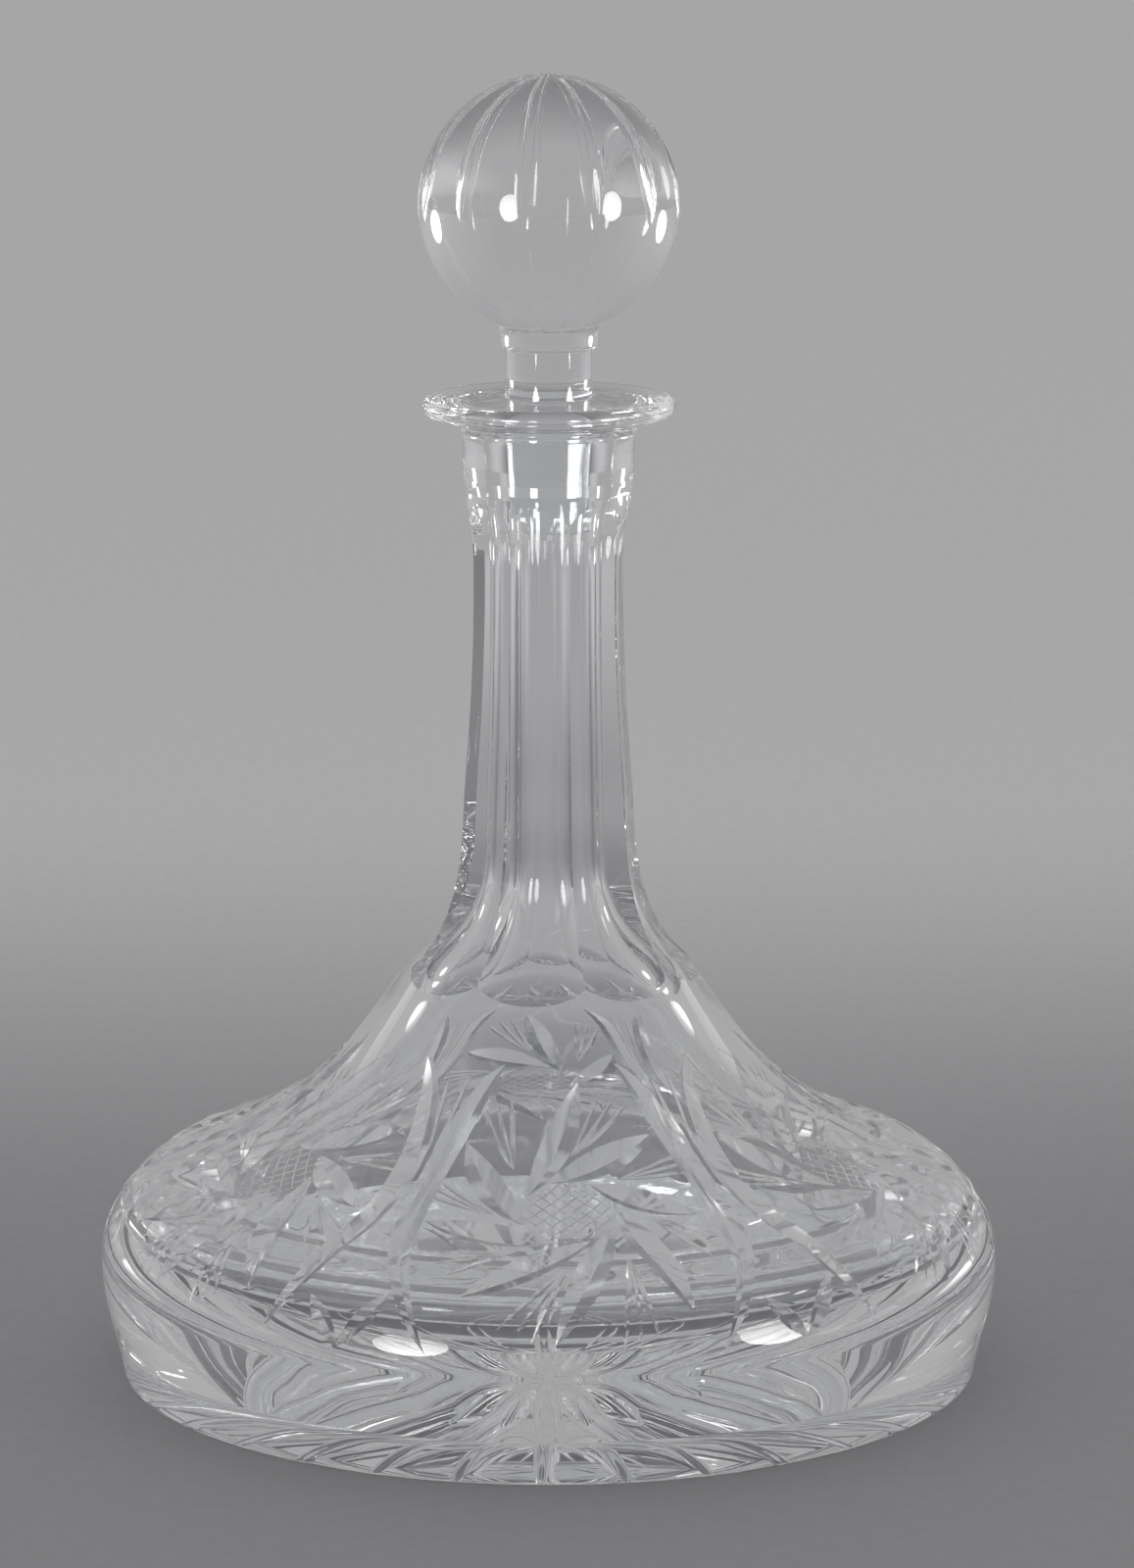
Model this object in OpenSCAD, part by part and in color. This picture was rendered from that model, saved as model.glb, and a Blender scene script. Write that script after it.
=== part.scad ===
// Ships decanter in cut crystal, with its ground-in ball stopper.
// Millimetres, +Z up, origin on the table at the centre of the base.

/* [Body] */
// Widest diameter of the body
body_d = 190; // [186:1:200]
// Height of the widest point
belly_h = 23.5; // [20:0.5:26]
// Diameter of the ring that the body stands on
base_d = 181.4; // [176:0.2:184]
// Height of the bevel round the heel
heel_h = 8.5; // [6:0.5:11]
// Outward lean of the heel bevel over its height
heel_lean = 1.8; // [1:0.1:3]
// Diameter where the belly turns into the shoulder
shoulder_d = 160; // [152:1:166]
// Height where the belly turns into the shoulder
shoulder_h = 44.4; // [42:0.2:50]
// Pitch of the shoulder there, in degrees from level
shoulder_pitch = 20; // [14:1:26]

/* [Neck] */
// Diameter at the foot of the flutes, where the shoulder sweeps up
flare_d = 66; // [60:1:72]
// Height of that foot
flare_h = 81.6; // [78:0.2:86]
// Pitch of the surface there, in degrees from level
flare_pitch = 55; // [50:1:60]
// Diameter of the straight part of the neck, before it is fluted
neck_d = 34.2; // [32:0.2:35.2]
// Length of the straight part below the collar
neck_run = 24.7; // [18:0.1:34]
// Number of flutes round the neck
neck_flutes = 8; // [6:2:10]
// Depth of a flute below the straight neck
flute_sink = 2.2; // [1.4:0.1:2.8]
// Height where the flutes sweep outward to the shoulder
flute_throat_h = 118; // [112:1:126]
// Distance of the flutes' deepest point below the collar
flute_waist_drop = 21.7; // [16:0.1:28]
// Angle of the first ridge between flutes from the front
flute_turn = 15; // [0:1:45]

/* [Lip] */
// Diameter of the plain collar under the lip
collar_d = 35.8; // [35.6:0.1:38]
// Length of the collar, from its ledge to the top of the lip
collar_len = 16.7; // [14:0.1:20]
// Diameter of the lip
lip_d = 52.6; // [46:0.2:60]
// Height of the top of the lip
lip_h = 206.4; // [204:0.2:212]
// Thickness of the rounded edge of the lip
lip_t = 4; // [3:0.2:5]
// Height of the hollow curve from the collar to the lip
lip_root_h = 4.6; // [3:0.2:6]

/* [Inside] */
// Thickness of the belly wall at its widest
belly_wall = 8.5; // [6:0.25:11]
// Thickness of the shoulder wall
shoulder_wall = 6; // [4:0.25:8]
// Thickness of the glass at the foot of the flutes
flare_wall = 8.5; // [7:0.25:10]
// Thickness of the base at its middle
floor_t = 9; // [6:0.25:14]
// Height of the widest point of the hollow
hollow_h = 32; // [29:0.5:34]
// Diameter of the bore below the stopper
bore_d = 16; // [15:0.1:18]
// Height where the bore begins to open into the hollow
bore_h = 112; // [104:1:124]

/* [Pinwheels] */
// Number of pinwheels round the body
motifs = 6; // [4:1:7]
// Angle of the first pinwheel from the front
motif_turn = 3.4; // [0:0.2:30]
// Height of a pinwheel's middle
motif_h = 49.6; // [47:0.2:52]
// Diameter of the disc in a pinwheel's middle
hub_d = 19.6; // [16:0.2:22]
// Direction of each blade's tip from the middle, anticlockwise from the right
blade_turn = [354, 48, 84, 137, 188, 227, 263, 310];
// Distance of each blade's tip from the middle
blade_reach = [28, 27.5, 34, 27.5, 30, 34, 34.7, 38];
// Angle round the disc from a blade's tip to its root
blade_sweep = 68; // [50:1:75]
// Depth of a blade at its middle
blade_depth = 1.95; // [1.2:0.05:2.2]

/* [Sickles and spearheads] */
// Angles from the pinwheel that set the bow of a sickle, from its top to its foot
sickle_turn = [16.5, 30, 30, 18.5];
// Distances up the side that set that bow
sickle_run = [93.5, 83.5, 47.5, 19];
// Depth of a sickle at its middle
sickle_depth = 1.65; // [1:0.05:2]
// Distance up the side of the foot of a spearhead, midway between pinwheels
spear_foot = 19; // [16:0.5:24]
// Angles of the tips of its two leaves from there
spear_turn = [-5, 6];
// Distances of those tips up the side
spear_run = [28.5, 31];
// Depth of a leaf of a spearhead at its middle
spear_depth = 1.1; // [0.6:0.1:1.5]

/* [Base star] */
// Number of rays cut in the underside
star_rays = 32; // [16:2:36]
// Diameter of the plain middle that the rays run in to
star_core_d = 36; // [36:1:60]
// Diameter that the rays run out to
star_d = 174; // [140:1:176]
// Depth of a ray
ray_depth = 1.1; // [0.6:0.1:1.1]

/* [Stopper] */
// Diameter of the ball
ball_d = 54; // [48:0.5:60]
// Height of the top of the ball above the lip
ball_top = 66.6; // [64:0.2:76]
// Diameter of the flare where it meets the ball
ball_foot_d = 21.8; // [20:0.2:26]
// Diameter of the flare at its lower edge
foot_d = 20; // [19:0.1:21]
// Height of that edge above the lip, where the stem ends
stem_top = 10.2; // [8:0.2:11.4]
// Diameter of the stem
stem_d = 18; // [17:0.1:18.6]
// Height of the stem's lower shoulder above the lip
stem_lift = 1; // [0.5:0.1:2]
// Diameter of the ground plug at the lip
plug_d = 18.2; // [17.4:0.1:18.6]
// Diameter of the plug at its lower end
plug_tip_d = 15.6; // [14.6:0.1:16]
// Length of the plug below the lip
plug_len = 27; // [20:0.5:34]
// Clearance of the plug in its socket, on the radius
plug_gap = 0.15; // [0.1:0.05:0.3]
// Number of cuts round the ball
ball_cuts = 12; // [8:2:14]
// Depth of a cut at its middle
ball_cut_depth = 1.6; // [0.8:0.1:2]
// Angle from the top of the ball to the upper end of a cut
cut_top = 4; // [3:0.5:12]
// Angle from the top of the ball to the lower tip of a cut
cut_tip = 93; // [84:1:98]
// Angle of the first cut from the front
cut_turn = 20; // [0:1:30]

/* [Curves] */
// Pitch of the belly where it leaves the heel bevel, past 90 when it leans out
heel_pitch = 109; // [96:1:114]
// Reach of the curve that rises from the heel
heel_reach = 5.1; // [2:0.1:6]
// Reach of the belly below its widest point
belly_reach_low = 5.1; // [2:0.1:7]
// Reach of the belly above its widest point
belly_reach_high = 11.4; // [8:0.2:14]
// Reach of the shoulder towards the belly
shoulder_reach_low = 5.6; // [3:0.2:9]
// Reach of the shoulder towards the neck
shoulder_reach_high = 31.7; // [26:0.2:36]
// Reach of the flare towards the shoulder
flare_reach_low = 17.9; // [12:0.2:22]
// Reach of the flare towards the neck
flare_reach_high = 22.6; // [14:0.2:28]
// Reach of the neck down into the flare
neck_reach = 47.7; // [36:0.2:52]
// Reach of the hollow's floor out from the axis
floor_reach = 35; // [20:1:45]
// Reach of the hollow's side down to the floor
hollow_reach_low = 8; // [4:0.5:10]
// Reach of the hollow's side up to the shoulder
hollow_reach_high = 3; // [2:0.5:5]
// Reach of the hollow from the flare up to the bore
hollow_flare_reach = 15; // [10:0.5:18]
// Reach of the bore down into the hollow
bore_reach = 20; // [12:1:28]
// Reach of the curve that rises from the collar to the lip
lip_root_reach = 2.8; // [1:0.2:4]
// Pitch of the underside of the lip, past 90 because it runs outward
lip_under_pitch = 170; // [160:1:178]
// Reach of the underside of the lip in from its edge
lip_under_reach = 5; // [2:0.2:6]

/* [Flute run-out] */
// How far a flute's floor starts outside the foot of the neck
flute_foot_out = 2.8; // [2:0.1:4]
// Pitch of the floor as it leaves the shoulder
flute_foot_pitch = 23; // [15:1:35]
// Reach of the floor at its foot
flute_foot_reach = 12; // [8:0.5:16]
// Pitch of the floor at the throat
flute_throat_pitch = 88; // [84:1:90]
// Reach of the floor below the throat
flute_throat_reach_low = 23.5; // [16:0.5:26]
// Reach of the floor above the throat
flute_throat_reach_high = 12; // [8:0.5:16]
// Reach of the floor below its deepest point
flute_waist_reach_low = 25; // [15:0.5:28]
// Reach of the floor above its deepest point
flute_waist_reach_high = 12; // [6:0.5:13]
// How far a flute's floor ends outside the neck
flute_head_out = 1.2; // [0.9:0.1:2]
// Distance of a flute's head below the collar
flute_head_drop = 2; // [1:0.2:4]
// Pitch of the floor at its head, past 90 because it runs outward
flute_head_pitch = 118; // [105:1:130]
// Reach of the floor at its head
flute_head_reach = 6; // [3:0.5:7]

/* [Hidden] */
crystal = [0.78, 0.83, 0.87, 0.55];
$fn = 180;

// Steps in one curved stretch of an outline
steps = 8;
// Half angle of the mitre wheel's edge
mitre = 55;
// Half angle of the broad wheel that cuts the pattern on the side
broad_mitre = 60;
// Stretches of a straight cut of the pattern
leaf_steps = 4;
// Stretches of a sickle
sickle_steps = 12;
// Powers that a straight cut and a sickle run out with: a higher one keeps the depth nearer to the ends
leaf_fullness = 2;
sickle_fullness = 3;
// Distance over which the slope of the side is taken
slope_span = 2;
// Bevel on a broken edge
edge = 0.8;
// How far a cutter stands clear of the surface that it cuts
clear = 0.3;
// How far the broad wheel's cutters stand clear
broad_clear = 1.2;
// How much longer or wider a cutter is than its cut
overrun = 1.05;

belly = [body_d / 2, belly_h];
heel = [base_d / 2 + heel_lean, heel_h];
shoulder = [shoulder_d / 2, shoulder_h];
flare = [flare_d / 2, flare_h];
collar_h = lip_h - collar_len;
neck = [neck_d / 2, collar_h - neck_run];
lip_edge = [(lip_d - lip_t) / 2, lip_h - lip_t / 2];
lip_root = [collar_d / 2, lip_h - lip_t - lip_root_h];

// Direction of a curve: pitch 0 runs level towards the axis, and pitch 90 runs straight up
function toward(pitch) = [-cos(pitch), sin(pitch)];

// A share of the way along the curve that four points set
function curve(p, a, b, q, t) =
    let(s = 1 - t)
    s^3 * p + 3 * s^2 * t * a + 3 * s * t^2 * b + t^3 * q;

// A curve between two points, with its pitch and the reach of its tangent at each of them
function bend(p, pitch_p, reach_p, q, pitch_q, reach_q) =
    let(a = p + reach_p * toward(pitch_p), b = q - reach_q * toward(pitch_q))
    [for (i = [0 : steps - 1]) curve(p, a, b, q, i / steps)];

// Part of a circle, from one angle to another
function arc(centre, radius, from, to) =
    [for (i = [0 : steps]) let(a = from + (to - from) * i / steps) centre + radius * [cos(a), sin(a)]];

// The point under a surface of given pitch, by the thickness of the wall
function under(p, pitch, wall) = p - wall * [sin(pitch), cos(pitch)];

// The side of the body, from the top of the heel bevel to the foot of the straight neck
side = concat(
    bend(heel, heel_pitch, heel_reach, belly, 90, belly_reach_low),
    bend(belly, 90, belly_reach_high, shoulder, shoulder_pitch, shoulder_reach_low),
    bend(shoulder, shoulder_pitch, shoulder_reach_high, flare, flare_pitch, flare_reach_low),
    bend(flare, flare_pitch, flare_reach_high, neck, 90, neck_reach),
    [neck]
);

outside = concat(
    [[0, 0], [base_d / 2, 0]],
    side,
    [[neck_d / 2, collar_h], [collar_d / 2, collar_h]],
    bend(lip_root, 90, lip_root_reach, lip_edge - [0, lip_t / 2], lip_under_pitch, lip_under_reach),
    arc(lip_edge, lip_t / 2, -90, 90)
);

hollow_side = [body_d / 2 - belly_wall, hollow_h];
hollow_shoulder = under(shoulder, shoulder_pitch, shoulder_wall);
hollow_flare = under(flare, flare_pitch, flare_wall);
bore_top = lip_h - plug_len;

hollow = concat(
    bend([0, floor_t], 180, floor_reach, hollow_side, 90, hollow_reach_low),
    bend(hollow_side, 90, hollow_reach_high, hollow_shoulder, shoulder_pitch, shoulder_reach_low),
    bend(hollow_shoulder, shoulder_pitch, shoulder_reach_high, hollow_flare, flare_pitch, flare_reach_low),
    bend(hollow_flare, flare_pitch, hollow_flare_reach, [bore_d / 2, bore_h], 90, bore_reach),
    [[bore_d / 2, bore_h], [bore_d / 2, bore_top - edge]],
    [[plug_tip_d / 2 + plug_gap, bore_top], [plug_d / 2 + plug_gap, lip_h - edge]],
    [[plug_d / 2 + plug_gap + edge, lip_h]]
);

// The flat floor of a flute, which runs out through the shoulder at its foot and the neck at its head
flute_foot = flare + [flute_foot_out, 0];
flute_throat = [neck_d / 2, flute_throat_h];
flute_waist = [neck_d / 2 - flute_sink, collar_h - flute_waist_drop];
flute_head = [neck_d / 2 + flute_head_out, collar_h - flute_head_drop];
flute_floor = concat(
    bend(flute_foot, flute_foot_pitch, flute_foot_reach,
         flute_throat, flute_throat_pitch, flute_throat_reach_low),
    bend(flute_throat, flute_throat_pitch, flute_throat_reach_high,
         flute_waist, 90, flute_waist_reach_low),
    bend(flute_waist, 90, flute_waist_reach_high,
         flute_head, flute_head_pitch, flute_head_reach),
    [flute_head]
);

module neck_flute() {
    rotate([90, 0, 0])
        linear_extrude(height = 2 * overrun * flute_foot[0] * tan(180 / neck_flutes), center = true)
            polygon(concat(flute_floor, [[flute_foot[0], flute_head[1]]]));
}

// Section of the mitre wheel's edge for a cut of given depth, with its point on the origin
module mitre_edge(depth) {
    rim = depth + clear;
    polygon([[0, 0], [rim, -rim * tan(mitre)], [rim, rim * tan(mitre)]]);
}

module star_ray() {
    translate([star_core_d / 2, 0, ray_depth])
        rotate([0, 90, 0])
            linear_extrude(height = (star_d - star_core_d) / 2)
                mitre_edge(ray_depth);
}

// How far each point of the side lies up it from the heel bevel
function run_to(i) = i == 0 ? 0 : run_to(i - 1) + norm(side[i] - side[i - 1]);
side_run = [for (i = [0 : len(side) - 1]) run_to(i)];
side_r = [for (i = [0 : len(side) - 1]) [side_run[i], side[i][0]]];
side_h = [for (i = [0 : len(side) - 1]) [side_run[i], side[i][1]]];
motif_run = lookup(motif_h, [for (i = [0 : len(side) - 1]) [side[i][1], side_run[i]]]);

// The point of the side at a place, which is an angle from the front and a distance up the side
function on_side(place) =
    let(r = lookup(place[1], side_r))
    [r * sin(place[0]), -r * cos(place[0]), lookup(place[1], side_h)];

// The outward direction of the side at a place
function outward(place) =
    let(low = place[1] - slope_span / 2,
        high = place[1] + slope_span / 2,
        lean = [lookup(high, side_r) - lookup(low, side_r), lookup(high, side_h) - lookup(low, side_h)])
    [lean[1] * sin(place[0]), -lean[1] * cos(place[0]), -lean[0]] / norm(lean);

// The place at a direction and a distance from a pinwheel's middle
function from_motif(turn, reach) =
    let(run = motif_run + reach * sin(turn))
    [reach * cos(turn) / lookup(run, side_r) * 180 / PI, run];

// Shares of the way along a cut, from just before its start to just past its end
function shares(count) = [for (i = [0 : count]) (1 + overrun * (2 * i / count - 1)) / 2];

// Depth of a cut at a share of the way along it, deepest in the middle and none at the two ends
function run_out(depth, fullness, t) = depth * (1 - abs(2 * t - 1)^fullness);

// The V-shaped body of glass that the broad wheel takes away along places, with its depth at each of them
module broad_cut(places, depths) {
    last = len(places) - 1;
    corners = [for (i = [0 : last])
        let(p = on_side(places[i]),
            up = outward(places[i]),
            along = on_side(places[min(i + 1, last)]) - on_side(places[max(i - 1, 0)]),
            across = cross(up, along) / norm(cross(up, along)),
            half = (depths[i] + broad_clear) * tan(broad_mitre) * across,
            top = p + broad_clear * up)
        each [p - depths[i] * up, top + half, top - half]];
    walls = [for (i = [0 : last - 1], k = [0 : 2])
        let(a = 3 * i + k, b = 3 * i + (k + 1) % 3)
        each [[b, a, a + 3], [b, a + 3, b + 3]]];
    polyhedron(corners, concat([[0, 1, 2]], walls, [[3 * last + 2, 3 * last + 1, 3 * last]]));
}

module straight_cut(from, to, depth) {
    along = shares(leaf_steps);
    broad_cut([for (t = along) from + t * (to - from)],
              [for (t = along) run_out(depth, leaf_fullness, t)]);
}

module blade(k) {
    straight_cut(from_motif(blade_turn[k] + blade_sweep, hub_d / 2),
                 from_motif(blade_turn[k], blade_reach[k]), blade_depth);
}

// One sickle beside a pinwheel: hand 1 is to its right and hand -1 to its left
module sickle(hand) {
    bow = [for (i = [0 : 3]) [hand * sickle_turn[i], sickle_run[i]]];
    along = shares(sickle_steps);
    broad_cut([for (t = along) curve(bow[0], bow[1], bow[2], bow[3], t)],
              [for (t = along) run_out(sickle_depth, sickle_fullness, t)]);
}

module spear_leaf(k) {
    middle = 180 / motifs;
    straight_cut([middle, spear_foot], [middle + spear_turn[k], spear_run[k]], spear_depth);
}

// Half of the pattern's cuts, chosen so that no two of them touch
module side_cuts(half) {
    for (i = [0 : motifs - 1])
        rotate(motif_turn + i * 360 / motifs) {
            for (k = [half : 2 : len(blade_turn) - 1])
                blade(k);
            sickle(1 - 2 * half);
            spear_leaf(half);
        }
}

// Copies of a cut round the axis: the odd or the even ones, so that neighbours are cut one after the other
module every_other(count, first, turn) {
    for (i = [first : 2 : count - 1])
        rotate(turn - 90 + i * 360 / count)
            children();
}

module decanter_body() {
    flute_middle = flute_turn + 180 / neck_flutes;
    color(crystal)
        difference() {
            difference() {
                rotate_extrude()
                    polygon(concat(outside, [for (i = [len(hollow) - 1 : -1 : 0]) hollow[i]]));
                every_other(neck_flutes, 0, flute_middle) neck_flute();
                side_cuts(0);
            }
            every_other(neck_flutes, 1, flute_middle) neck_flute();
            side_cuts(1);
            every_other(star_rays, 0, 0) star_ray();
            every_other(star_rays, 1, 0) star_ray();
        }
}

ball_r = ball_d / 2;
ball_h = lip_h + ball_top - ball_r;
ball_foot_h = ball_h - sqrt(ball_r^2 - (ball_foot_d / 2)^2);

stem_outline = [
    [0, bore_top],
    [plug_tip_d / 2 - edge, bore_top],
    [plug_tip_d / 2, bore_top + edge],
    [plug_d / 2, lip_h],
    [stem_d / 2, lip_h + stem_lift],
    [stem_d / 2, lip_h + stem_top],
    [foot_d / 2, lip_h + stem_top],
    [ball_foot_d / 2, ball_foot_h],
    [0, ball_h]
];

// One cut of the ball, with its bottom on a circle that meets the ball at the two ends of the cut
module ball_cut() {
    half_chord = ball_r * sin((cut_tip - cut_top) / 2);
    rise = ball_r * (1 - cos((cut_tip - cut_top) / 2)) - ball_cut_depth;
    radius = half_chord^2 / (2 * rise) + rise / 2;
    sweep = 2 * overrun * asin(half_chord / radius);
    translate([0, 0, ball_h])
        rotate([0, (cut_top + cut_tip) / 2 - 90, 0])
            translate([ball_r - ball_cut_depth - radius, 0, 0])
                rotate([90, 0, 0])
                    rotate(-sweep / 2)
                        rotate_extrude(angle = sweep)
                            translate([radius, 0])
                                mitre_edge(ball_cut_depth);
}

module stopper() {
    color(crystal)
        difference() {
            difference() {
                union() {
                    translate([0, 0, ball_h])
                        sphere(d = ball_d);
                    rotate_extrude()
                        polygon(stem_outline);
                }
                every_other(ball_cuts, 0, cut_turn) ball_cut();
            }
            every_other(ball_cuts, 1, cut_turn) ball_cut();
        }
}

decanter_body();
stopper();
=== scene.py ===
# A cut-crystal ships decanter and its ball stopper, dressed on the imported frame.
import math

import bpy
import numpy as np
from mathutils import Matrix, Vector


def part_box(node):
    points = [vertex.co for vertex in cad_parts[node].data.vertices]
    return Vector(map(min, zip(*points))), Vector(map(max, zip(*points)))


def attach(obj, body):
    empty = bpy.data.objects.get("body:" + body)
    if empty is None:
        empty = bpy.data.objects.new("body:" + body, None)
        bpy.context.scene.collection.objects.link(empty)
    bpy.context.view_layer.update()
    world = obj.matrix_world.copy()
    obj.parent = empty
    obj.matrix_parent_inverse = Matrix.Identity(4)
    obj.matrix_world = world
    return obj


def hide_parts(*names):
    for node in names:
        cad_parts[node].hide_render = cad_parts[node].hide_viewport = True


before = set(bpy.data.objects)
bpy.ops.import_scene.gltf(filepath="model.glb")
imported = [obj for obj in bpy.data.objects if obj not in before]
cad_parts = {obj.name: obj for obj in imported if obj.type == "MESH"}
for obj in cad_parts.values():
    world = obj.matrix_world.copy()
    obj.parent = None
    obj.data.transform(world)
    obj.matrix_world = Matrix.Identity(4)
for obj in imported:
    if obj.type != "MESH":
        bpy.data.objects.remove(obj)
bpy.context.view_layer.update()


# The body is one piece of clear crystal: a broad low belly, a shoulder that sweeps up into a fluted neck,
# and a flat lip. It is blown thick, cut on wheels and polished, and it stands on the rim of its base.
# Sizes are in millimetres and angles in degrees, and a point of an outline is a radius and a height.
MM = 0.001
FRONT = -90.0
RING = 200

body_low, body_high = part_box("decanter_body")
body_r = (body_high.x - body_low.x) / 2 / MM
lip_h = body_high.z / MM
upright, outward = 90, 180
base_r = 90.7
kick, kick_r = 5.6, 86.0
heel, heel_pitch, heel_reach = (92.5, 8.5), 109, 5.1
belly, belly_reach_low, belly_reach_high = (body_r, 23.5), 5.1, 11.4
shoulder, shoulder_pitch = (80.0, 44.4), 20
shoulder_reach_low, shoulder_reach_high = 5.6, 31.7
flare, flare_pitch = (33.0, 81.6), 55
flare_reach_low, flare_reach_high = 17.9, 22.6
collar_r, collar_h = 17.9, lip_h - 16.7
neck, neck_reach = (17.1, collar_h - 24.7), 47.7
lip_r, lip_t = 26.3, 4.0
lip_root_h, lip_root_reach = 4.6, 2.8
lip_under_pitch, lip_under_reach = 170, 5
edge = 0.8

floor_t, floor_reach = 9.0, 35
belly_wall, shoulder_wall, flare_wall = 8.5, 6.0, 8.5
hollow_h, hollow_reach_low, hollow_reach_high = 32.0, 8, 3
hollow_flare_reach = 15
bore_r, bore_h, bore_reach = 8.0, 112.0, 20
plug_r, plug_tip_r, plug_len, plug_gap = 9.1, 7.8, 27.0, 0.15


def toward(pitch):
    """Direction of an outline: pitch 0 runs level towards the axis, and 90 straight up."""
    turn = math.radians(pitch)
    return np.array((-math.cos(turn), math.sin(turn)))


def bend(p, pitch_p, reach_p, q, pitch_q, reach_q, steps):
    """A curve from p up to but not including q, with its pitch and tangent reach at both."""
    p, q = np.array(p), np.array(q)
    a, b = p + reach_p * toward(pitch_p), q - reach_q * toward(pitch_q)
    t = np.linspace(0, 1, steps, endpoint=False)[:, None]
    s = 1 - t
    return s**3 * p + 3 * s**2 * t * a + 3 * s * t**2 * b + t**3 * q


def arc(centre, radius, start, end, steps):
    """Part of a circle, from one angle to another."""
    turn = np.radians(np.linspace(start, end, steps))
    return np.array(centre) + radius * np.stack((np.cos(turn), np.sin(turn)), axis=1)


def straight(p, q, steps):
    """Points from p up to but not including q."""
    t = np.linspace(0, 1, steps, endpoint=False)[:, None]
    return np.array(p) * (1 - t) + np.array(q) * t


def under(p, pitch, wall):
    """The point below a surface of given pitch, by the thickness of the wall."""
    turn = math.radians(pitch)
    return np.array(p) - wall * np.array((math.sin(turn), math.cos(turn)))


def underside(r):
    """Height of the underside of the base, which is ground hollow inside its rim."""
    return kick * np.maximum(1 - (r / kick_r) ** 2, 0)


kick_line = np.linspace(0, kick_r, 16)
lip_root = (collar_r, lip_h - lip_t - lip_root_h)
lip_edge = (lip_r - lip_t / 2, lip_h - lip_t / 2)
lip_under = (lip_edge[0], lip_h - lip_t)
cut_side = np.vstack((
    bend(heel, heel_pitch, heel_reach, belly, upright, belly_reach_low, steps=16),
    bend(belly, upright, belly_reach_high, shoulder, shoulder_pitch, shoulder_reach_low, steps=32),
    bend(shoulder, shoulder_pitch, shoulder_reach_high, flare, flare_pitch, flare_reach_low, steps=32),
    bend(flare, flare_pitch, flare_reach_high, neck, upright, neck_reach, steps=30),
))
outside = np.vstack((
    np.stack((kick_line, underside(kick_line)), axis=1),
    straight((base_r, 0), heel, steps=5),
    cut_side,
    straight(neck, (neck[0], collar_h), steps=8),
    straight((collar_r, collar_h), lip_root, steps=4),
    bend(lip_root, upright, lip_root_reach, lip_under, lip_under_pitch, lip_under_reach, steps=12),
    arc(lip_edge, lip_t / 2, -90, 90, steps=24),
))

hollow_side = (body_r - belly_wall, hollow_h)
hollow_shoulder = under(shoulder, shoulder_pitch, shoulder_wall)
hollow_flare = under(flare, flare_pitch, flare_wall)
bore_top = lip_h - plug_len
bore_foot, bore_head = (bore_r, bore_h), (bore_r, bore_top - edge)
socket_foot, socket_head = (plug_tip_r + plug_gap, bore_top), (plug_r + plug_gap, lip_h - edge)
hollow = np.vstack((
    bend((0, floor_t), outward, floor_reach, hollow_side, upright, hollow_reach_low, steps=76),
    bend(hollow_side, upright, hollow_reach_high,
         hollow_shoulder, shoulder_pitch, shoulder_reach_low, steps=28),
    bend(hollow_shoulder, shoulder_pitch, shoulder_reach_high,
         hollow_flare, flare_pitch, flare_reach_low, steps=24),
    bend(hollow_flare, flare_pitch, hollow_flare_reach, bore_foot, upright, bore_reach, steps=20),
    straight(bore_foot, bore_head, steps=6),
    straight(bore_head, socket_foot, steps=1),
    straight(socket_foot, socket_head, steps=4),
    [socket_head, (socket_head[0] + edge, lip_h)],
))


class Field:
    """A value, colour, vector or shader in a node tree, with arithmetic that adds nodes."""

    def __init__(self, tree, socket=None):
        self.tree, self.socket = tree, socket

    def node(self, kind, settings, sockets, output=0):
        """Adds a node, sets it up, and gives one of its outputs."""
        made = self.tree.nodes.new(kind)
        for name, value in settings.items():
            setattr(made, name, value)
        for name, value in sockets.items():
            if isinstance(value, Field):
                self.tree.links.new(value.socket, made.inputs[name])
            else:
                made.inputs[name].default_value = value
        return Field(self.tree, made.outputs[output]) if made.outputs else None

    def math(self, operation, a, b):
        return self.node("ShaderNodeMath", {"operation": operation}, {0: a, 1: b})

    def mix(self, share, a, b):
        """Colour a where the share is 0, and colour b where it is 1."""
        return self.node("ShaderNodeMix", {"data_type": "RGBA"}, {0: share, 6: a, 7: b}, 2)

    def __add__(self, other):
        return self.math("ADD", self, other)

    def __sub__(self, other):
        return self.math("SUBTRACT", self, other)

    def __rsub__(self, other):
        return self.math("SUBTRACT", other, self)

    def __mul__(self, other):
        return self.math("MULTIPLY", self, other)

    __radd__, __rmul__ = __add__, __mul__

    def __abs__(self):
        return self.math("ABSOLUTE", self, 0.0)

    def step(self, low, high):
        """0 below low, 1 above high, and smooth between."""
        return self.node("ShaderNodeMapRange", {"interpolation_type": "SMOOTHSTEP"},
                         {"Value": self, "From Min": low, "From Max": high})


crystal_ior = 1.545
crystal_light, crystal_deep = (0.985, 0.992, 0.994, 1), (0.972, 0.984, 0.99, 1)
crystal_shadow = (0.83, 0.84, 0.845, 1)
mark_scale, wave_scale = 90.0, 45.0


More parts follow.
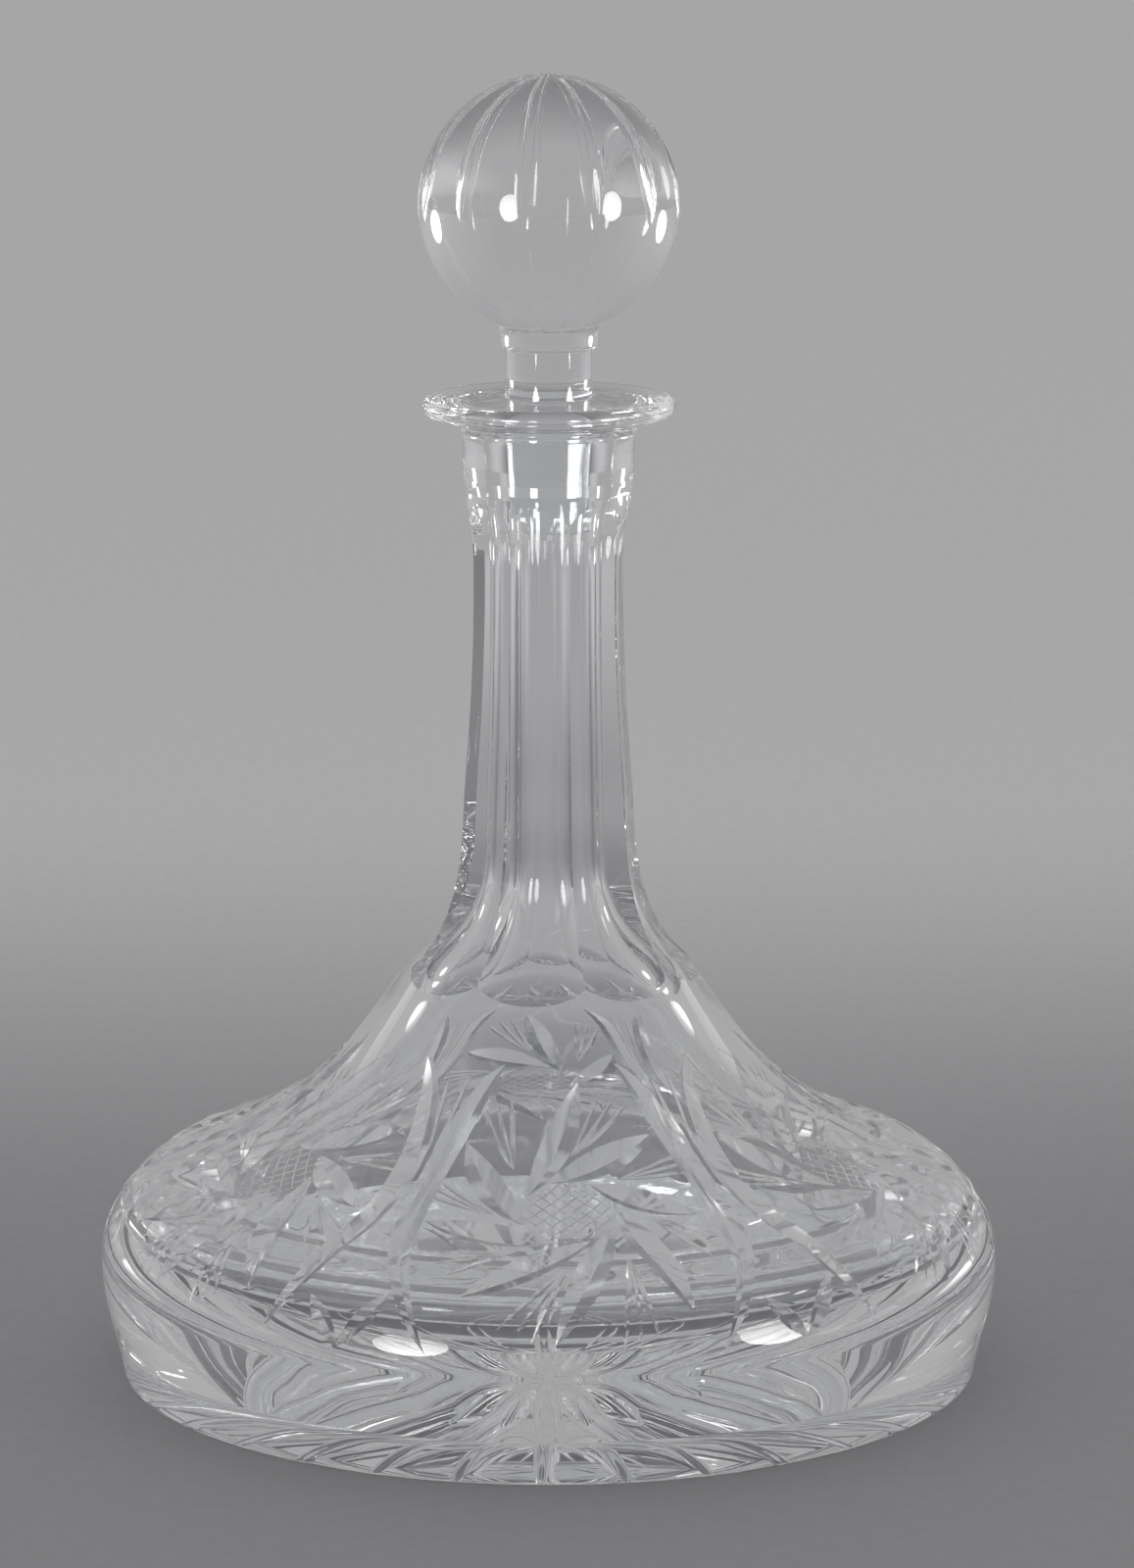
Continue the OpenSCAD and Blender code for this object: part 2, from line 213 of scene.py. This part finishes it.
def crystal(name, rough, marks_rough, wave_strength):
    """Clear crystal with faint handling marks and slow waves. Lamp light passes through it to the table."""
    material = bpy.data.materials.new(name)
    material.use_nodes = True
    tree = material.node_tree
    tree.nodes.clear()
    start = Field(tree)
    place = start.node("ShaderNodeTexCoord", {}, {}, "Object")
    marks = start.node("ShaderNodeTexNoise", {}, {"Vector": place, "Scale": mark_scale, "Detail": 5.0})
    waves = start.node("ShaderNodeTexNoise", {}, {"Vector": place, "Scale": wave_scale, "Detail": 1.0})
    tint = start.mix(waves.step(0.3, 0.7), crystal_light, crystal_deep)
    bump = start.node("ShaderNodeBump", {}, {"Strength": wave_strength, "Distance": MM, "Height": waves})
    glass = start.node("ShaderNodeBsdfPrincipled", {}, {
        "Base Color": tint,
        "Roughness": rough + marks_rough * marks.step(0.5, 0.8),
        "IOR": crystal_ior,
        "Transmission Weight": 1.0,
        "Normal": bump,
    })
    clear = start.node("ShaderNodeBsdfTransparent", {}, {"Color": crystal_shadow})
    lamp_ray = start.node("ShaderNodeLightPath", {}, {}, "Is Shadow Ray")
    seen = start.node("ShaderNodeMixShader", {}, {0: lamp_ray, 1: glass, 2: clear})
    start.node("ShaderNodeOutputMaterial", {}, {"Surface": seen})
    return material


polished = crystal("polished_crystal", rough=0.003, marks_rough=0.012, wave_strength=0.1)
satin = crystal("wheel_cut_crystal", rough=0.12, marks_rough=0.1, wave_strength=0.1)


def mesh_object(name, points, faces, material):
    """An object from points in millimetres."""
    mesh = bpy.data.meshes.new(name)
    mesh.from_pydata((np.asarray(points) * MM).tolist(), [], faces)
    mesh.materials.append(material)
    made = bpy.data.objects.new(name, mesh)
    bpy.context.scene.collection.objects.link(made)
    return made


def revolve(name, outline, material):
    """A closed solid of revolution from an outline that starts and ends on the axis."""
    turn = np.radians(np.arange(RING) * 360 / RING)
    rings = []
    for r, z in outline[1:-1]:
        rings.append(np.stack((r * np.cos(turn), r * np.sin(turn), np.full(RING, z)), axis=1))
    points = np.vstack([[(0, 0, outline[0][1])], *rings, [(0, 0, outline[-1][1])]])
    ahead = [(k + 1) % RING for k in range(RING)]
    last = 1 + (len(rings) - 1) * RING
    faces = [(0, 1 + ahead[k], 1 + k) for k in range(RING)]
    for i in range(len(rings) - 1):
        low, high = 1 + i * RING, 1 + (i + 1) * RING
        faces += [(low + k, low + ahead[k], high + ahead[k], high + k) for k in range(RING)]
    faces += [(last + k, last + ahead[k], len(points) - 1) for k in range(RING)]
    return mesh_object(name, points, faces, material)


body = revolve("decanter_glass", np.vstack((outside, hollow[::-1])), polished)

# Distances up the cut side of the body, from the top of the heel bevel
side_s = np.concatenate(([0], np.cumsum(np.hypot(*np.diff(cut_side, axis=0).T))))
side_slope = np.gradient(cut_side, side_s, axis=0)


def up_to(height):
    """Distance up the side at which the body has that height."""
    return float(np.interp(height, cut_side[:, 1], side_s))


def on_side(azimuth, s):
    """Points on the uncut side and their outward normals."""
    turn = np.radians(np.asarray(azimuth) + FRONT)
    r, z = (np.interp(s, side_s, cut_side[:, i]) for i in (0, 1))
    dr, dz = (np.interp(s, side_s, side_slope[:, i]) for i in (0, 1))
    length = np.hypot(dr, dz)
    points = np.stack((r * np.cos(turn), r * np.sin(turn), z), axis=1)
    normals = np.stack((dz * np.cos(turn), dz * np.sin(turn), -dr), axis=1) / length[:, None]
    return points, normals


# Wheel cuts: each is a body of glass to take away, and a leaf stands proud of the surface by its lift
mitre = 60
leaf_overrun = 0.03
leaf_lift, leaf_lift_share = 0.25, 0.2
cutters = []


def sweep_cutter(sections, finish):
    """Joins the cross-sections of a cut, one closed outline for each place along it."""
    places, corners, _ = sections.shape
    faces = []
    for i in range(0, corners * (places - 1), corners):
        for k in range(corners):
            j = (k + 1) % corners
            faces.append((i + k, i + j, i + corners + j, i + corners + k))
    end = corners * (places - 1)
    faces += [tuple(range(corners))[::-1], tuple(range(end, end + corners))]
    cutters.append(mesh_object("wheel_cut", sections.reshape(-1, 3), faces, finish))


def mitre_cut(points, normals, depth, lift):
    """The V-shaped cut of a mitre wheel along a path on the surface, left satin."""
    along = np.gradient(points, axis=0)
    across = np.cross(normals, along)
    across /= np.linalg.norm(across, axis=1)[:, None]
    half = ((depth + lift) * math.tan(math.radians(mitre)))[:, None] * across
    top = points + lift * normals
    sweep_cutter(np.stack((points - depth[:, None] * normals, top + half, top - half), axis=1), satin)


def round_cut(axis, across, out, radius, half_angle, steps, finish):
    """The round-bottomed cut of a blunt wheel. Its section is an arc about an axis outside the surface."""
    bow = np.radians(np.linspace(-half_angle, half_angle, steps))
    sections = [axis + radius * (math.sin(a) * across - math.cos(a) * out) for a in bow]
    sweep_cutter(np.stack(sections, axis=1), finish)


def leaf(depth, fullness, steps):
    """Places along a cut and its depth there, deepest in the middle and past the surface at both ends."""
    t = np.linspace(-leaf_overrun, 1 + leaf_overrun, steps)
    return t, depth * (1 - np.abs(2 * t - 1) ** fullness)


def side_leaf(start, end, depth, fullness=2.0, steps=16):
    """A straight leaf cut between two places, each an azimuth and a distance up the side."""
    t, deep = leaf(depth, fullness, steps)
    azimuth = start[0] + (end[0] - start[0]) * t
    s = start[1] + (end[1] - start[1]) * t
    mitre_cut(*on_side(azimuth, s), deep, leaf_lift + leaf_lift_share * depth)


# Pinwheels: eight leaf blades, listed one by one, round a hatched disc, with three fine lines in each gap
motifs = 6
motif_turn = 3.4
motif_s = up_to(49.6)
blade_tips = ((354, 28), (408, 27.5), (444, 34), (497, 27.5), (548, 30), (587, 34), (623, 34.7), (670, 38))
hub = 9.8
blade_sweep = 68
blade_depth = 1.95
line_depth = 0.32
line_turns, line_lean, line_past = (-2, 4, 10), 20, 1
hatch_pitch, hatch_lines, hatch_depth = 2.4, 3, 0.12
diagonal = 0.707


def motif_place(azimuth, u, v):
    """A place u to the right of a pinwheel's middle and v above it, along the surface."""
    s = motif_s + v
    r = float(np.interp(s, side_s, cut_side[:, 0]))
    return azimuth + math.degrees(u / r), s


def motif_polar(azimuth, angle, reach):
    """A place at a direction and a distance from a pinwheel's middle."""
    turn = math.radians(angle)
    return motif_place(azimuth, reach * math.cos(turn), reach * math.sin(turn))


def pinwheel(azimuth):
    for k, (angle, reach) in enumerate(blade_tips):
        root = motif_polar(azimuth, angle + blade_sweep, hub)
        side_leaf(root, motif_polar(azimuth, angle, reach), blade_depth)
        next_angle, next_reach = blade_tips[(k + 1) % len(blade_tips)]
        gap = angle + (next_angle - angle) % 360 / 2
        end = (reach + next_reach) / 2 + line_past
        root = motif_polar(azimuth, gap + line_lean, end / 2)
        for turn in line_turns:
            side_leaf(root, motif_polar(azimuth, gap + turn, end), line_depth, fullness=4, steps=12)
    for k in range(-hatch_lines, hatch_lines + 1):
        off = k * hatch_pitch
        half = math.sqrt(hub**2 - off**2)
        for slant in (1, -1):
            side_leaf(motif_place(azimuth, (off - slant * half) * diagonal, (slant * off + half) * diagonal),
                      motif_place(azimuth, (off + slant * half) * diagonal, (slant * off - half) * diagonal),
                      hatch_depth, fullness=6, steps=10)


# Sickles: two long bowed cuts that frame each pinwheel and touch their neighbours above the middle
sickle_bow = np.array(((16.5, 93.5), (30.0, 83.5), (30.0, 47.5), (18.5, 19.0)))
sickle_depth, sickle_lift = 1.65, 0.7


def sickle(azimuth, side):
    t, deep = leaf(sickle_depth, fullness=3.0, steps=48)
    t, r = t[:, None], 1 - t[:, None]
    a, b, c, d = sickle_bow
    bow = r**3 * a + 3 * r**2 * t * b + 3 * r * t**2 * c + t**3 * d
    mitre_cut(*on_side(azimuth + side * bow[:, 0], bow[:, 1]), deep, sickle_lift)


# Wedges: fine rays above the place where two sickles touch, and a spearhead of two leaves below it
fan_s, fan_gather = 71.5, 0.2
fan_tips = ((-8.5, 87.5), (-3, 89), (3, 90.5), (8.5, 89.5))
spear_s, spear_depth = 19.0, 1.1
spear_tips = ((-5.0, 28.5), (6.0, 31.0))


def wedge(azimuth):
    for turn, end in fan_tips:
        root = (azimuth + fan_gather * turn, fan_s)
        side_leaf(root, (azimuth + turn, end), line_depth, fullness=4, steps=14)
    for turn, end in spear_tips:
        side_leaf((azimuth, spear_s), (azimuth + turn, end), spear_depth)


for m in range(motifs):
    centre = motif_turn + m * 360 / motifs
    pinwheel(centre)
    sickle(centre, 1)
    sickle(centre, -1)
    wedge(centre + 180 / motifs)

# Star under the base: sixteen long rays that open into petals near the middle, and a short ray in each gap
star_rays, star_turn = 16, -1.0
star_start, star_end = 1.0, 90.0
ray_depth, ray_round, ray_fullness = 1.2, 1.8, 3.0
petal_end, petal_depth, petal_round, petal_fullness = 26.0, 1.3, 2.4, 1.6
short_start, short_fullness = 40.0, 2.4


def base_ray(azimuth, start, end, depth, fullness, radius):
    """A straight round-bottomed cut under the base, between two distances from the axis."""
    t, deep = leaf(depth, fullness, steps=20)
    turn = math.radians(azimuth + FRONT)
    along = np.array((math.cos(turn), math.sin(turn), 0))
    down = np.array((0, 0, -1))
    r = start + (end - start) * t
    axis = r[:, None] * along + (radius - deep - underside(r))[:, None] * down
    round_cut(axis, np.cross(down, along), down, radius, half_angle=85, steps=23, finish=polished)


for k in range(star_rays):
    azimuth = star_turn + k * 360 / star_rays
    base_ray(azimuth, star_start, star_end, ray_depth, ray_fullness, ray_round)
    base_ray(azimuth, star_start, petal_end, petal_depth, petal_fullness, petal_round)
    base_ray(azimuth + 180 / star_rays, short_start, star_end, ray_depth, short_fullness, ray_round)

# Flutes of the neck: eight flat cuts that meet in sharp ridges and run out at the shoulder and the collar
neck_flutes = 8
flute_turn = 15.0
flute_foot, flute_foot_pitch, flute_foot_reach = (flare[0] + 2.8, flare[1]), 23, 12
flute_throat, flute_throat_pitch = (neck[0], 118.0), 88
flute_throat_reach_low, flute_throat_reach_high = 23.5, 12
flute_waist = (neck[0] - 2.2, collar_h - 21.7)
flute_waist_reach_low, flute_waist_reach_high = 25, 12
flute_head, flute_head_pitch, flute_head_reach = (neck[0] + 1.2, collar_h - 2), 118, 6
flute_overlap = 1.05
flute_floor = np.vstack((
    bend(flute_foot, flute_foot_pitch, flute_foot_reach,
         flute_throat, flute_throat_pitch, flute_throat_reach_low, steps=26),
    bend(flute_throat, flute_throat_pitch, flute_throat_reach_high,
         flute_waist, upright, flute_waist_reach_low, steps=14),
    bend(flute_waist, upright, flute_waist_reach_high,
         flute_head, flute_head_pitch, flute_head_reach, steps=16),
    [flute_head, (flute_foot[0], flute_head[1])],
))
flute_half = flute_overlap * flute_foot[0] * math.tan(math.pi / neck_flutes)
for k in range(neck_flutes):
    turn = math.radians(FRONT + flute_turn + (k + 0.5) * 360 / neck_flutes)
    out = np.array((math.cos(turn), math.sin(turn), 0))
    across = np.array((-math.sin(turn), math.cos(turn), 0))
    spine = flute_floor[:, :1] * out + flute_floor[:, 1:] * np.array((0, 0, 1))
    count = len(spine)
    sides = np.vstack((spine - flute_half * across, spine + flute_half * across))
    faces = [(i, (i + 1) % count, count + (i + 1) % count, count + i) for i in range(count)]
    faces += [tuple(range(count))[::-1], tuple(range(count, 2 * count))]
    cutters.append(mesh_object("wheel_cut", sides, faces, polished))

crease = 8


def cut_away(piece, tools):
    """Takes the tools out of the piece, and shades it smooth except across cut edges."""
    group = bpy.data.collections.new("wheel_cuts")
    bpy.context.scene.collection.children.link(group)
    for tool in tools:
        bpy.context.scene.collection.objects.unlink(tool)
        group.objects.link(tool)
    cut = piece.modifiers.new("wheel_cuts", "BOOLEAN")
    cut.solver = "MANIFOLD"
    cut.operation = "DIFFERENCE"
    cut.operand_type = "COLLECTION"
    cut.material_mode = "TRANSFER"
    cut.collection = group
    evaluated = piece.evaluated_get(bpy.context.evaluated_depsgraph_get())
    result = bpy.data.meshes.new_from_object(evaluated)
    piece.modifiers.clear()
    piece.data = result
    for tool in tools:
        bpy.data.meshes.remove(tool.data)
    bpy.data.collections.remove(group)
    result.shade_smooth()
    result.set_sharp_from_angle(angle=math.radians(crease))


cut_away(body, cutters)
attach(body, "decanter")
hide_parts("decanter_body")


# The stopper is one solid piece of the same crystal: a ball with twelve tapering cuts that meet in a star
# on top, a flared foot, a stem, and a tapered plug that is ground into the neck. It lifts straight out.
stopper_low, stopper_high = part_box("stopper")
ball_r = (stopper_high.x - stopper_low.x) / 2 / MM
ball_h = stopper_high.z / MM - ball_r
stem_r, stem_top, stem_lift = 9.0, 10.2, 1.0
foot_r, foot_low_r, foot_round = 10.9, 10.0, 0.4
foot_h = lip_h + stem_top
foot_low, foot_low_pitch = (foot_low_r, foot_h + 0.5), 95
foot_angle = math.degrees(math.asin(foot_r / ball_r)) - 90
ball_foot, ball_foot_pitch = (foot_r, ball_h + ball_r * math.sin(math.radians(foot_angle))), 125
foot_reach = 1
ball_polish = crystal("polished_stopper", rough=0.003, marks_rough=0.012, wave_strength=0.04)
stopper = revolve("stopper_glass", np.vstack((
    [(0, bore_top), (plug_tip_r - edge, bore_top)],
    arc((plug_tip_r - edge, bore_top + edge), edge, -80, -5, steps=8),
    straight((plug_tip_r, bore_top + edge), (plug_r, lip_h), steps=6),
    straight((plug_r, lip_h), (stem_r, lip_h + stem_lift), steps=3),
    straight((stem_r, lip_h + stem_lift), (stem_r, foot_h - foot_round), steps=4),
    arc((stem_r + foot_round, foot_h - foot_round), foot_round, 180, 90, steps=5),
    arc((foot_low_r - foot_round, foot_h + foot_round), foot_round, -90, -20, steps=5),
    bend(foot_low, foot_low_pitch, foot_reach, ball_foot, ball_foot_pitch, foot_reach, steps=6),
    arc((0, ball_h), ball_r, foot_angle, 90, steps=70),
)), ball_polish)

# A cut of the ball deepens from the top over a share of its length, cut_full, and then runs out to its tip
ball_cuts, cut_turn = 12, 20.0
cut_tip, cut_full, cut_depth, cut_round = 95.0, 0.74, 1.6, 3.0
deepening, running_out = 1.2, 1.4
cutters = []
t = np.linspace(0.02, 1.01, 48)
fall = np.radians(cut_tip * t)
rounded = 1 - (np.maximum(t - cut_full, 0) / (1 - cut_full)) ** running_out
deep = cut_depth * np.where(t < cut_full, (t / cut_full) ** deepening, rounded)
for k in range(ball_cuts):
    turn = math.radians(FRONT + cut_turn + k * 360 / ball_cuts)
    across = np.array((-math.sin(turn), math.cos(turn), 0))
    normals = np.stack((np.sin(fall) * math.cos(turn), np.sin(fall) * math.sin(turn), np.cos(fall)), axis=1)
    axis = normals * (ball_r - deep + cut_round)[:, None] + np.array((0, 0, ball_h))
    round_cut(axis, across, normals, cut_round, half_angle=76, steps=33, finish=ball_polish)
cut_away(stopper, cutters)
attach(stopper, "stopper")
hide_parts("stopper")


# The table is one wide sheet of plain grey paper, with painted light on it: lighter further back and most so
# at the sides there.
# It lies a hair below the base, so that glass and paper never share a plane. From here on, lengths are
# in metres.
floor_half, floor_drop = 8.0, 0.0004
# Painted light: the far and side greys are the same paper painted as if lit more strongly, not a different
# paper.
near_grey, far_lit_grey, side_lit_grey = (0.228, 0.223, 0.229, 1), (0.485, 0.475, 0.48, 1), (0.68, 0.67, 0.675, 1)
painted_light_from, painted_light_to = 0.05, 0.62
side_light_from, side_light_to = 0.2, 0.6
fade_from, fade_to = 0.7, 1.6
grain_scale, grain_shade = 250.0, 0.97
paper = bpy.data.materials.new("studio_paper")
paper.use_nodes = True
paper.node_tree.nodes.clear()
start = Field(paper.node_tree)
place = start.node("ShaderNodeTexCoord", {}, {}, "Object")
behind = start.node("ShaderNodeSeparateXYZ", {}, {0: place}, "Y")
aside = abs(start.node("ShaderNodeSeparateXYZ", {}, {0: place}, "X"))
# Painted light: the grey is painted lighter further back and lighter still at the sides there, in place of
# how the studio light falls on the paper.
painted_light_back = behind.step(painted_light_from, painted_light_to)
fade = behind.step(fade_from, fade_to)
grain = start.node("ShaderNodeTexNoise", {}, {"Vector": place, "Scale": grain_scale, "Detail": 2.0})
grey = start.mix(painted_light_back, near_grey, far_lit_grey)
grey = start.mix(aside.step(side_light_from, side_light_to) * painted_light_back * (1 - fade), grey, side_lit_grey)
fibre = start.node("ShaderNodeVectorMath", {"operation": "SCALE"}, {0: grey, "Scale": grain_shade})
grey = start.mix(grain.step(0.35, 0.65), fibre, grey)
matte = start.node("ShaderNodeBsdfPrincipled", {},
                   {"Base Color": grey, "Roughness": 0.8, "Specular IOR Level": 0.2})
start.node("ShaderNodeOutputMaterial", {}, {"Surface": matte})
corners = floor_half * np.array(((-1, -1, 0), (1, -1, 0), (1, 1, 0), (-1, 1, 0)))
floor = mesh_object("studio_floor", corners / MM, [(0, 1, 2, 3)], paper)
floor.location.z = -floor_drop


# Two soft boxes stand in front and two small ones behind, in an otherwise dim grey studio.
# Each is an oval lamp a little above the ball, aimed level at the axis and hidden from the camera.
box_spread = 50


def soft_box(name, azimuth, height, distance, size, power):
    lamp = bpy.data.lights.new(name, "AREA")
    lamp.shape = "ELLIPSE"
    lamp.size, lamp.size_y = size
    lamp.energy = power
    lamp.spread = math.radians(box_spread)
    made = bpy.data.objects.new(name, lamp)
    bpy.context.scene.collection.objects.link(made)
    a = math.radians(azimuth + FRONT)
    made.location = (distance * math.cos(a), distance * math.sin(a), height)
    made.rotation_euler = (math.pi / 2, 0, a + math.pi / 2)
    made.visible_camera = False


soft_box("left_box", azimuth=-34, height=0.3, distance=1.25, size=(0.42, 0.5), power=0.62)
soft_box("right_box", azimuth=57, height=0.3, distance=1.25, size=(0.42, 0.5), power=0.62)
soft_box("left_rear_box", azimuth=-130, height=0.31, distance=0.78, size=(0.14, 0.18), power=0.012)
soft_box("right_rear_box", azimuth=130, height=0.31, distance=0.78, size=(0.14, 0.18), power=0.012)

# The room shows these greys beyond the paper and in the glass, and gives other surfaces its plain light
wall_grey, side_wall_grey, ceiling_grey = (0.39, 0.385, 0.39, 1), (0.48, 0.475, 0.48, 1), (0.4, 0.4, 0.406, 1)
room_light = (0.8, 0.8, 0.81, 1)
world = bpy.data.worlds.new("studio")
bpy.context.scene.world = world
world.use_nodes = True
world.node_tree.nodes.clear()
start = Field(world.node_tree)
seen = start.node("ShaderNodeLightPath", {}, {}, "Is Camera Ray")
for ray in ("Is Glossy Ray", "Is Transmission Ray"):
    seen = start.math("MAXIMUM", seen, start.node("ShaderNodeLightPath", {}, {}, ray))
way = start.node("ShaderNodeTexCoord", {}, {}, "Generated")
rise = start.node("ShaderNodeSeparateXYZ", {}, {0: way}, "Z")
aside = abs(start.node("ShaderNodeSeparateXYZ", {}, {0: way}, "X"))
room = start.mix(aside.step(0.25, 0.8), wall_grey, side_wall_grey)
room = start.mix(rise.step(0.0, 0.9), room, ceiling_grey)
light = start.mix(seen, room_light, room)
back = start.node("ShaderNodeBackground", {}, {"Color": light, "Strength": 1.0})
start.node("ShaderNodeOutputWorld", {}, {"Surface": back})


# The camera stands one and a quarter metres in front of the decanter and looks slightly down at it.
# Its long lens and small sideways shift give the framing of the photograph.
camera_distance, camera_height, camera_tilt = 1.2647, 0.3779, 78.664
camera = bpy.data.cameras.new("view")
camera.lens = 141.1
camera.sensor_width = 36.0
camera.shift_x = 0.0117
viewer = bpy.data.objects.new("view", camera)
viewer.location = (0, -camera_distance, camera_height)
viewer.rotation_euler = (math.radians(camera_tilt), 0, 0)
bpy.context.scene.collection.objects.link(viewer)
bpy.context.scene.camera = viewer
bpy.context.scene.view_settings.view_transform = "Standard"

# Light crosses many faces inside cut glass
glass_bounces = 48
bpy.context.scene.cycles.max_bounces = glass_bounces
bpy.context.scene.cycles.transmission_bounces = glass_bounces
bpy.context.scene.cycles.glossy_bounces = glass_bounces
